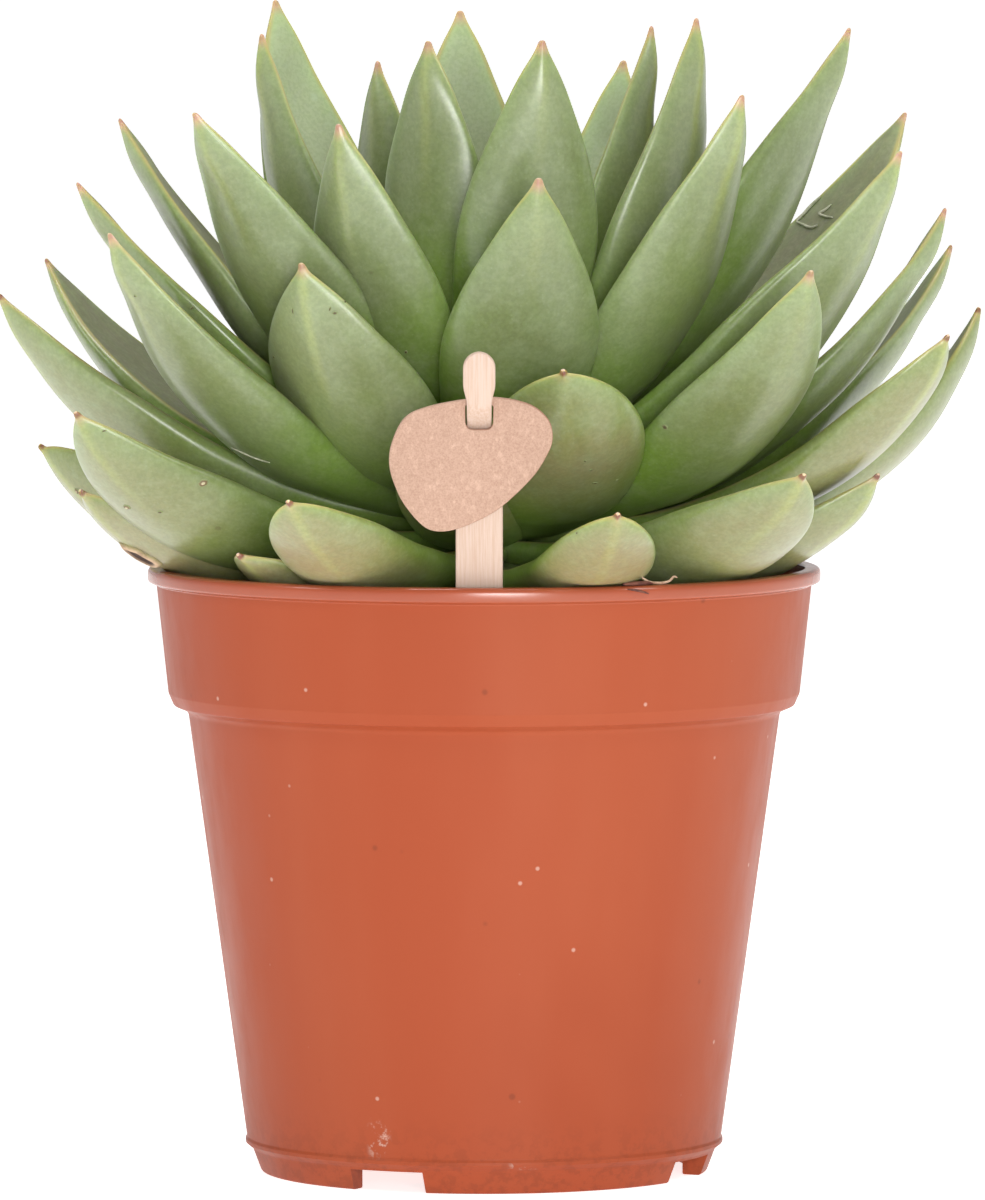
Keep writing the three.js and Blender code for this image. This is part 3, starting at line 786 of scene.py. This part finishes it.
def leafMesh(leaf, rng, count):
    # rings along the leaf, each from the right margin under the belly to the left one and back over the top
    form = leafForm
    controls = leafControls(leaf)
    length = np.linalg.norm(controls[3] - controls[0]) * 1.04
    t = leafStations(length, count)
    middle, along = bezier(controls, t)
    turn = np.radians(leaf["turn"] + leaf["swing"] * (1 - 2 * t))
    side = np.stack([np.cos(turn), np.sin(turn), np.zeros_like(turn)], 1)
    side = unit(side - along * (side * along).sum(1, keepdims=True))
    roll = math.radians(leaf["roll"])
    side = side * math.cos(roll) + np.cross(along, side) * math.sin(roll)
    up = np.cross(along, side)
    plump, traits = leafTraits(leaf)
    left = (1 - t) * length  # what is left to the tip
    body = np.clip(t / (1 - 1.2 / length), 0, 1)
    radius = traits["pointRadius"]
    rounded = radius * np.sqrt(1 - (1 - np.clip(left / radius, 0, 1)) ** 2)
    point = (rounded + traits["pointSpread"] * left + 0.01) * smooth(22, 4, left)
    half = ((leaf["width"] / 2 * widthShare(body, traits)) ** 3 + point ** 3) ** (1 / 3)
    thick = leaf["width"] * traits["thicknessPerWidth"] * thicknessShare(body, traits["thinning"])
    top = ((thick * form["topShare"]) ** 3 + (point * traits["pointTop"]) ** 3) ** (1 / 3)
    under = ((thick * (1 - form["topShare"])) ** 3 + (point * traits["pointUnder"]) ** 3) ** (1 / 3)
    shoulder = np.minimum(thick * form["shoulder"], half * 0.6)
    turnOver = math.radians(form["shoulderTurn"])
    crest = shoulder * math.sin(turnOver)
    crestReach = 1 - shoulder * (1 - math.cos(turnOver)) / half
    keelStart, keelFull, keelShare = form["keel"]
    keel = keelShare * smooth(keelStart, keelFull, t)
    lean = rng.uniform(-0.12, 0.12)  # the keel is rarely in the middle
    across, lift = [], []
    sideAngles = turnOver * (1 - np.arange(form["sideSteps"]) / form["sideSteps"])
    bellyAngles = np.linspace(math.pi / 2, -math.pi / 2, form["underSteps"])
    topAngles = np.linspace(-math.pi / 2, math.pi / 2, form["topSteps"] + 1)[1:-1]
    for angle in sideAngles:  # right margin down to the widest place
        across.append(1 - shoulder * (1 - math.cos(angle)) / half)
        lift.append(shoulder * math.sin(angle) - crest)
    for angle in bellyAngles:
        x = math.sin(angle)
        ridge = math.sqrt((x - lean * (1 - x * x)) ** 2 + 0.01) - 0.1 * (1 - abs(x))
        full = max(0.0, 1 - abs(x) ** form["belly"][0]) ** form["belly"][1]
        across.append(np.full_like(half, x))
        lift.append(-crest - (under - crest) * lerp(full, max(0.0, 1 - ridge) * (full > 0), keel))
    for angle in sideAngles[::-1]:
        across.append(-1 + shoulder * (1 - math.cos(angle)) / half)
        lift.append(shoulder * math.sin(angle) - crest)
    for angle in topAngles:
        x = crestReach * math.sin(angle)
        across.append(x)
        lift.append(top * math.cos(angle) ** 2)
    across, lift = np.stack(across, 1), np.stack(lift, 1)
    phase = rng.uniform(0, 6.28, 3)
    wave = (np.sin(t * 9 + phase[0])[:, None] * np.cos(across * 2.3 + phase[1])
            + 0.5 * np.sin(t * 21 + phase[2])[:, None])
    wave = wave * form["wave"] * (smooth(0, 0.2, t) * smooth(1, 0.8, t))[:, None]
    isTop = np.arange(across.shape[1]) >= across.shape[1] - len(topAngles)
    height = lift + traits["cup"] * half[:, None] * across ** 2 + wave * np.where(isTop, 0.4, 1.0)
    out = across * half[:, None]
    points = middle[:, None] + side[:, None] * out[..., None] + up[:, None] * height[..., None]
    leftMargin = form["sideSteps"] * 2 + form["underSteps"] - 1
    toEdge = np.minimum(np.linalg.norm(points - points[:, :1], axis=2),
                        np.linalg.norm(points - points[:, leftMargin:leftMargin + 1], axis=2))
    size = across.shape
    flat = restOnPot(points.reshape(-1, 3))
    isTop[[0, leftMargin]] = True
    # leaves that face the front get their inner faces painted darker as shade
    front = 1 - smooth(100, 145, abs((leaf["turn"] + 180) % 360 - 180))
    front = front * smooth(30, 45, leaf["reach"])
    values = {
        "leafAlong": np.broadcast_to(t[:, None], size).ravel(),
        "toEdge": toEdge.ravel(),
        "leafInner": np.broadcast_to(isTop, size).ravel(),
        "leafTone": np.full(flat.shape[0], rng.uniform()),
        "leafOld": np.full(flat.shape[0], plump),
        "leafFrontShade": np.full(flat.shape[0], front),
        "toTip": np.linalg.norm(flat - controls[3], axis=1),
        "leafGrid": np.stack([out.ravel(), np.broadcast_to((t * length)[:, None], size).ravel(),
                              np.full(flat.shape[0], rng.uniform(0, 90))], 1),
    }
    return flat, size, values


def restOnPot(points):
    # flesh that would sink into the rim or the mix is pressed up by it
    reach = np.hypot(points[:, 0], points[:, 1])
    inner = pot["collarTopRadius"] - pot["wall"]
    ground = lerp(soil["top"] + 1.5, pot["height"] + 0.15, smooth(inner - 2.5, inner - 0.4, reach))
    above = points[:, 2] - ground
    pressed = np.where(above > -8, 0.5 * (above + np.sqrt(above ** 2 + 0.5)), above)
    points = points.copy()
    rested = ground + np.where(above > 3, above, pressed)
    points[:, 2] = np.where(reach < pot["rimRadius"] + 1, rested, points[:, 2])
    return points


def buildLeaves():
    rng = np.random.default_rng(leafForm["seed"])
    material = leafMaterial()
    for i, leaf in enumerate(listLeaves(), 1):
        points, size, values = leafMesh(leaf, rng, leafForm["rings"])
        makePiece(f"fleshyLeaf_{i:02d}", points, loftFaces(*size), material,
                  [f"leaf_{i:02d}"], values)
    print("leaves grown:", i)
    allPoints, allFaces, allValues, start = [], [], {}, 0
    for i in range(heart["leaves"]):
        share = i / (heart["leaves"] - 1)
        young = {key: lerp(*heart[key], share) for key in ("reach", "tipHeight", "width", "rootHeight")}
        young.update(turn=i * heart["turnStep"], swing=0, bow=heart["bow"], roll=0)
        points, size, values = leafMesh(young, rng, heart["rings"])
        allPoints.append(points)
        allFaces += loftFaces(*size, start)
        start += len(points)
        for key, numbers in values.items():
            allValues.setdefault(key, []).append(numbers)
    allValues = {key: np.concatenate(rows) for key, rows in allValues.items()}
    points = np.concatenate(allPoints)
    makePiece("heartLeaves", points, allFaces, material, ["heart"], allValues)
    print("heart grown")


buildLeaves()


def stemMaterial():
    material, tree = newMaterial("stemBark", Roughness=0.8)
    c = linearColors(stem["colors"])
    rings = noiseOf(tree, placeOf(tree), 160.0, 4.0, 0.6, stretch=(1, 1, 3))
    color = mixOf(tree, rangeOf(tree, rings, 0.35, 0.65), c["dark"], c["pale"])
    return dress(material, color, rings, 0.6, 0.8)


def buildStem():
    knots, shares = zip(*stem["profile"])
    heights = np.linspace(knots[0], knots[-1], stem["rings"])
    radii = np.interp(heights, knots, shares) * stem["radius"]
    points = turnedPoints(list(zip(radii, heights)), stem["sides"])
    angle = np.arctan2(points[:, 1], points[:, 0])
    scars = stem["scarHeight"] * np.sin(angle * 5 + points[:, 2] * 0.9) * np.sin(points[:, 2] * 1.7)
    points[:, :2] *= (1 + scars / stem["radius"])[:, None]
    faces = loftFaces(len(heights), stem["sides"])
    makePiece("woodyStem", points, faces, stemMaterial(), ["stem"])
    print("stem raised")


buildStem()


# plant label: a stick through a slotted card

label = {
    "x": -0.8, "y": -53, "lean": 12, "depth": 40, "point": 8, "thickness": 1.6, "edge": 0.35,
    "bodyWidth": 8.2, "neckWidth": 4.3, "headWidth": 5.6, "slitHeight": 40.2, "slitHalf": 2,
    "headTop": 52.1, "jog": 1.65, "cardThickness": 1.1, "slotRoom": 0.25, "cardBevel": 0.22,
    "colors": {
        "wood": (192, 169, 154), "grain": (181, 153, 133), "pore": (184, 150, 122),
        "card": (177, 145, 126), "fibre": (158, 125, 106), "fleck": (214, 182, 160), "burntAndShade": (150, 104, 80),
    },
}
# across and up from the slot
cardOutline = [
    (-15.6, -8.5), (-15.1, -4.5), (-12.8, -0.1), (-8.5, 1.9), (-1.6, 3.2), (3.6, 3.4), (8.9, 2.1), (12, -0.6),
    (12.7, -4), (11.5, -7.3), (8.9, -11.2), (3.6, -16.3), (-1.6, -19.2), (-5.9, -20.5), (-9.4, -19.8),
    (-12.8, -16), (-14.6, -12.4),
]


def labelSpace(points):
    lean = math.radians(label["lean"])
    x, y, z = np.asarray(points, float).T
    forward = y * math.cos(lean) - z * math.sin(lean)
    upward = y * math.sin(lean) + z * math.cos(lean)
    return np.stack([x, forward, upward], 1) + [label["x"], label["y"], soil["top"]]


def woodMaterial():
    material, tree = newMaterial("birchWood", Roughness=0.62)
    c = linearColors(label["colors"])
    grid = attributeOf(tree, "labelGrid", "Vector")
    grain = noiseOf(tree, grid, 2.6, 5.0, 0.65, stretch=(1, 1, 0.035))
    pores = noiseOf(tree, grid, 9.0, 3.0, 0.6, stretch=(1, 1, 0.06))
    color = mixOf(tree, rangeOf(tree, grain, 0.35, 0.7), c["wood"], c["grain"])
    color = mixOf(tree, rangeOf(tree, pores, 0.6, 0.75, 0.0, 0.4), color, c["pore"])
    return dress(material, color, plus(tree, grain, pores), 0.25, 0.12)


def cardMaterial():
    material, tree = newMaterial("kraftCard", Roughness=0.85)
    c = linearColors(label["colors"])
    grid = attributeOf(tree, "labelGrid", "Vector")
    fibres = noiseOf(tree, grid, 3.4, 4.0, 0.7)
    flecks = noiseOf(tree, grid, 1.1, 5.0, 0.75, stretch=(1, 1, 0.5))
    color = mixOf(tree, rangeOf(tree, fibres, 0.35, 0.68), c["card"], c["fibre"])
    color = mixOf(tree, rangeOf(tree, flecks, 0.5, 0.72, 0.0, 0.35), color, c["fleck"])
    # the cut edge darkens as a burn and, on the lower right, as painted shade
    color = mixOf(tree, times(tree, attributeOf(tree, "burntEdgeShade"), 0.8), color, c["burntAndShade"])
    return dress(material, color, fibres, 0.3, 0.12)


def buildStick():
    l = label
    low, high = l["slitHeight"] - l["slitHalf"], l["slitHeight"] + l["slitHalf"]
    foot, top, front = high + l["slitHalf"], l["headTop"], 2 * l["jog"]
    heights = np.concatenate([
        np.linspace(-l["depth"], -l["depth"] + l["point"], 12),
        np.linspace(-30, 28, 60),
        np.linspace(29, foot + 2, 46),
        lerp(foot + 2, top, np.sin(np.linspace(0.06, 1.57, 18))),
    ])
    width = l["bodyWidth"] * smooth(-l["depth"] - 4, -l["depth"] + l["point"], heights)
    width = lerp(width, l["neckWidth"], smooth(low - 6.5, low - 2.5, heights))
    width = lerp(width, l["headWidth"], smooth(foot - 1.4, foot + 2.4, heights))
    width = width * np.sqrt(np.clip(1 - (np.clip(heights - (top - 2.8), 0, 2.8) / 2.82) ** 2, 0.02, 1))
    forward = front * smooth(low - 1, high + 1, heights)
    rings = []
    for z, w, f in zip(heights, width, forward):
        x, y = w / 2, l["thickness"] / 2
        e = min(l["edge"], x * 0.9)
        ring = []
        for right, back, start in ((1, 1, 0), (-1, 1, 90), (-1, -1, 180), (1, -1, 270)):
            for bit in (0, 30, 60, 90):
                a = math.radians(start + bit)
                ring.append((right * (x - e) + e * math.cos(a), back * (y - e) + e * math.sin(a) - f, z))
        rings.append(ring)
    points = np.array(rings).reshape(-1, 3)
    makePiece("labelStick", labelSpace(points), loftFaces(len(rings), 16), woodMaterial(),
              ["label_stake"], {"labelGrid": points})
    print("stick cut")


def closedCurve(knots, steps):
    # smooth closed line through the knots
    knots = np.array(knots, float)
    points = []
    for i in range(len(knots)):
        a, b, c, d = (knots[(i + k) % len(knots)] for k in (-1, 0, 1, 2))
        points += [curvePoint(a, b, c, d, share) for share in np.arange(steps) / steps]
    return np.array(points)


def slotLine():
    l = label
    halfWidth = l["neckWidth"] / 2 + l["slotRoom"]
    halfHeight = l["slitHalf"] + l["slotRoom"]
    points = []
    for cx, cy, start, corner in ((1, 1, 0, 0.5), (-1, 1, 90, 0.5), (-1, -1, 180, 1.3), (1, -1, 270, 1.3)):
        for bit in range(0, 91, 18):
            a = math.radians(start + bit)
            points.append((cx * (halfWidth - corner) + corner * math.cos(a),
                           cy * (halfHeight - corner) + corner * math.sin(a)))
    return np.array(points)


def buildCard():
    l = label
    shape = bmesh.new()
    rims = []
    for line in (closedCurve(cardOutline, 7), slotLine()):
        verts = [shape.verts.new((x, 0, z)) for x, z in line]
        rims += [shape.edges.new((verts[i - 1], verts[i])) for i in range(len(verts))]
    bmesh.ops.triangle_fill(shape, use_beauty=True, edges=rims)
    sheet = bmesh.ops.extrude_face_region(shape, geom=shape.faces[:])
    moved = [v for v in sheet["geom"] if isinstance(v, bmesh.types.BMVert)]
    half = l["cardThickness"] / 2
    for v in shape.verts:
        v.co.y = half
    for v in moved:
        v.co.y = -half
    bmesh.ops.recalc_face_normals(shape, faces=shape.faces)
    corners = [e for e in shape.edges if len(e.link_faces) == 2 and e.calc_face_angle() > 1.0]
    bmesh.ops.bevel(shape, geom=corners, offset=l["cardBevel"], segments=3, affect="EDGES", profile=0.5)
    bmesh.ops.triangulate(shape, faces=shape.faces)
    shape.verts.ensure_lookup_table()
    points = np.array([v.co[:] for v in shape.verts]) + [0, -l["jog"], l["slitHeight"]]
    shape.verts.index_update()
    faces = [[v.index for v in f.verts] for f in shape.faces]
    shape.free()
    depth = np.abs(points[:, 1] + l["jog"])
    side = points[:, 0] * 0.7 - (points[:, 2] - l["slitHeight"] + 8) * 0.5
    cut = smooth(half * 1.01, half * 0.75, depth) * smooth(-8, 6, side)  # a burn along the cut, darkest on the lower right, where the darkening is painted shade
    makePiece("labelCard", labelSpace(points), faces, cardMaterial(), ["label_card"],
              {"labelGrid": points, "burntEdgeShade": cut}, sharp=35)
    print("card punched")


buildStick()
buildCard()


# scars and fibres

marks = {
    "pictureSize": (985, 1200), "sides": 22, "seed": 5,
    # pixel, length and width in millimetres, turn, and kind: near 0 a brown speck, 0.5 a pale scar
    "spots": [
        (203, 483, 2.2, 1.3, 10, 0.5), (127, 507, 1.9, 1.3, 30, 0.4), (160, 512, 1.0, 0.8, 0, 0.1),
        (335, 313, 0.9, 0.7, 20, 0.0), (330, 309, 0.8, 0.4, 60, 0.0), (345, 302, 0.7, 0.4, 0, 0.0),
        (274, 357, 0.8, 0.6, 0, 0.1), (406, 352, 0.8, 0.6, 40, 0.1), (293, 311, 1.3, 0.5, 80, 0.1),
        (665, 427, 1.3, 1.0, 0, 0.0), (595, 483, 1.1, 0.5, 10, 0.0), (617, 480, 0.7, 0.4, 60, 0.0),
        (585, 461, 0.6, 0.5, 0, 0.1), (591, 470, 0.6, 0.4, 60, 0.1), (577, 533, 0.6, 0.5, 0, 0.0),
        (135, 296, 0.8, 0.5, 0, 0.1), (192, 308, 1.1, 0.4, 40, 0.1), (104, 431, 0.9, 0.4, 20, 0.1),
        (77, 491, 1.5, 1.0, 50, 0.5),
    ],
    "wound": (141, 556, 7.2, 4.6, -62),
    # thickness, colours, and points in millimetres
    "rimFibres": [
        (0.5, "pale", [(27.3, -51.6, 109.5), (28, -51.3, 109), (28.9, -50.9, 108.5), (30.1, -50.1, 108.3),
                       (31.3, -49.4, 108.3), (32.4, -48.6, 108.6), (33.1, -48.2, 109.3), (33.7, -48, 109.1)]),
        # the dark strands are dried root, and also a painted shadow of the root on the rim
        (0.8, "dark", [(24.2, -54, 108.3), (25.6, -53.3, 108.4), (27, -52.4, 108.4), (28.4, -51.3, 108.4),
                       (29.4, -50.6, 108.3)]),
        (0.4, "dark", [(25, -54.9, 107.5), (26.3, -54.3, 107.3), (27.6, -53.7, 107), (28.7, -53.2, 106.6)]),
    ],
    # thickness, then the pixels that the thread is seen through
    "threads": [
        (0.3, [(231, 447), (240, 451), (251, 456), (262, 460), (270, 462)]),
        (0.6, [(797, 222), (803, 216), (810, 208), (816, 202), (821, 197)]),
        (0.5, [(797, 222), (803, 225), (811, 228), (818, 226)]),
        (0.5, [(832, 205), (826, 210), (820, 214), (826, 217), (833, 218)]),
    ],
    "colors": {
        "flesh": (128, 140, 92), "speck": (74, 60, 36), "cork": (188, 178, 144), "corkEdge": (104, 78, 52),
        "dust": (110, 104, 70), "pitAndShade": (52, 31, 20), "crust": (190, 162, 132), "skin": (136, 128, 86),
        "stain": (88, 56, 36),
    },
    "fibreColors": {
        "pale": ((150, 112, 88), (188, 158, 134)), "dark": ((74, 34, 26), (112, 66, 50)),
        "skin": ((152, 156, 128), (190, 190, 168)),
    },
    # share of the size and height in millimetres, from the middle of a mark outward
    "speckProfile": [(0.12, 0.12), (0.4, 0.14), (0.75, 0.1), (1, 0.03), (1.05, -0.15)],
    "scarProfile": [(0.12, 0.34), (0.3, 0.3), (0.5, 0.12), (0.75, 0.16), (1, 0.03), (1.05, -0.15)],
    "woundProfile": [
        (0.1, 0.05), (0.45, 0.05), (0.62, 0.3), (0.8, 0.65), (0.95, 0.4), (1.1, 0.05), (1.15, -0.3),
    ],
}


def scarMaterial():
    material, tree = newMaterial("scarTissue", Roughness=0.6)
    c = linearColors(marks["colors"])
    part = attributeOf(tree, "scarPart")
    kind = attributeOf(tree, "scarKind")
    grain = noiseOf(tree, placeOf(tree), 1400.0, 3.0, 0.6)
    speck = mixOf(tree, rangeOf(tree, part, 0.3, 0.9), c["speck"], c["flesh"])
    scar = mixOf(tree, rangeOf(tree, part, 0.25, 0.5), c["cork"], c["corkEdge"])
    scar = mixOf(tree, rangeOf(tree, part, 0.55, 0.95), scar, c["flesh"])
    color = mixOf(tree, rangeOf(tree, kind, 0.1, 0.4), speck, scar)
    color = mixOf(tree, rangeOf(tree, grain, 0.35, 0.7, 0.0, 0.25), color, c["dust"])
    return dress(material, color, grain, 0.4, 0.1)


def woundMaterial():
    material, tree = newMaterial("driedWound", Roughness=0.7)
    c = linearColors(marks["colors"])
    part = attributeOf(tree, "scarPart")
    grain = noiseOf(tree, placeOf(tree), 900.0, 4.0, 0.65)
    # the hollow middle is dark dried tissue, and its darkness is partly painted shade of the hole
    color = mixOf(tree, rangeOf(tree, part, 0.6, 0.85), c["pitAndShade"], c["crust"])
    color = mixOf(tree, rangeOf(tree, part, 0.85, 1.1), color, c["skin"])
    color = mixOf(tree, rangeOf(tree, grain, 0.45, 0.7, 0.0, 0.4), color, c["stain"])
    return dress(material, color, grain, 0.8, 0.4)


def fibreMaterial(name, color, paleColor):
    material, tree = newMaterial(name, Roughness=0.75)
    grain = noiseOf(tree, placeOf(tree), 700.0, 3.0, 0.6)
    color = mixOf(tree, rangeOf(tree, grain, 0.35, 0.65), linearColor(*color), linearColor(*paleColor))
    return dress(material, color, grain, 0.5, 0.15)


def plantSurface():
    points, faces = [], []
    for piece in bpy.data.objects:
        if piece.name.startswith(("fleshyLeaf", "nurseryPot")):
            start = len(points)
            points += [v.co.copy() for v in piece.data.vertices]
            faces += [[start + i for i in p.vertices] for p in piece.data.polygons]
    return BVHTree.FromPolygons(points, faces)


def seenSpot(surface, x, y):
    # where the line of sight through a pixel of the picture meets the plant, and the way out of the surface
    width, height = marks["pictureSize"]
    tilt = math.radians(studio["lookDown"])
    focal = studio["lens"] / studio["sensorWidth"] * height
    across, up = (x - width / 2) / focal, (height / 2 - y) / focal
    sight = Vector((across, math.cos(tilt) + up * math.sin(tilt), up * math.cos(tilt) - math.sin(tilt)))
    spot, out, face, distance = surface.ray_cast(Vector(studio["cameraPlace"]), sight.normalized())
    return spot, out if out is None or out.dot(sight) < 0 else -out


def layPatch(surface, spot, out, length, width, turn, profile, rng):
    # a closed low patch that follows the surface; profile rows are (share of the size, height in mm)
    sides = marks["sides"]
    across = Vector((0, 0, 1)).cross(out).normalized()
    up = out.cross(across)
    phase = rng.uniform(0, 6.28, 2)
    c, s = math.cos(math.radians(turn)), math.sin(math.radians(turn))
    points, parts = [], []
    for share, height in profile:
        for i in range(sides):
            angle = i * 2 * math.pi / sides
            wobble = 1 + 0.14 * math.sin(2 * angle + phase[0]) + 0.08 * math.sin(5 * angle + phase[1])
            reach = share * wobble * mm / 2
            x, y = length * reach * math.cos(angle), width * reach * math.sin(angle)
            wanted = spot + across * (x * c - y * s) + up * (x * s + y * c)
            near, normal, face, distance = surface.find_nearest(wanted)
            if normal.dot(out) < 0:
                normal = -normal
            points.append((near + normal * height * mm) / mm)
            parts.append(share)
    return points, loftFaces(len(profile), sides), parts


def buildScars():
    rng = np.random.default_rng(marks["seed"])
    surface = plantSurface()
    points, faces, parts, kinds = [], [], [], []
    for x, y, length, width, turn, kind in marks["spots"]:
        spot, out = seenSpot(surface, x, y)
        if spot is None:
            continue
        profile = marks["speckProfile" if kind < 0.25 else "scarProfile"]
        ring, sides, share = layPatch(surface, spot, out, length, width, turn, profile, rng)
        faces += [[len(points) + i for i in f] for f in sides]
        points += ring
        parts += share
        kinds += [kind] * len(ring)
    values = {"scarPart": parts, "scarKind": kinds}
    makePiece("leafScars", points, faces, scarMaterial(), values=values)
    x, y, *form = marks["wound"]
    spot, out = seenSpot(surface, x, y)
    points, faces, parts = layPatch(surface, spot, out, *form, marks["woundProfile"], rng)
    makePiece("leafWound", points, faces, woundMaterial(), values={"scarPart": parts})
    print("scars laid:", len(kinds) // marks["sides"], "rings")
    return surface


def strandMesh(knots, thickness, sides=8, steps=6):
    knots = np.array(knots, float)
    ends = np.concatenate([[2 * knots[0] - knots[1]], knots, [2 * knots[-1] - knots[-2]]])
    line = []
    for a, b, c, d in zip(ends, ends[1:], ends[2:], ends[3:]):
        line += [curvePoint(a, b, c, d, share) for share in np.arange(steps) / steps]
    line = np.array(line + [knots[-1]])
    along = unit(np.gradient(line, axis=0))
    side = unit(np.cross(along, [0.1, 0.2, 1.0]))
    other = np.cross(along, side)
    taper = np.sin(np.linspace(0.25, 2.9, len(line))) ** 0.5 * thickness / 2
    angles = np.arange(sides) * 2 * math.pi / sides
    rings = line[:, None] + taper[:, None, None] * (side[:, None] * np.cos(angles)[:, None]
                                                    + other[:, None] * np.sin(angles)[:, None])
    return rings.reshape(-1, 3), loftFaces(len(line), sides)


def buildFibres(surface):
    for i, (thickness, tint, knots) in enumerate(marks["rimFibres"], 1):
        points, faces = strandMesh(knots, thickness)
        material = fibreMaterial(f"dryRoot_{i}", *marks["fibreColors"][tint])
        makePiece(f"dryRootlet_{i}", points, faces, material)
    material = fibreMaterial("dryLeafSkin", *marks["fibreColors"]["skin"])
    for i, (thickness, pixels) in enumerate(marks["threads"], 1):
        seen = [seenSpot(surface, x, y) for x, y in pixels]
        knots = [(spot + out * thickness * 0.4 * mm) / mm for spot, out in seen if spot]
        points, faces = strandMesh(knots, thickness)
        makePiece(f"skinThread_{i}", points, faces, material)
    print("fibres laid")


buildFibres(buildScars())
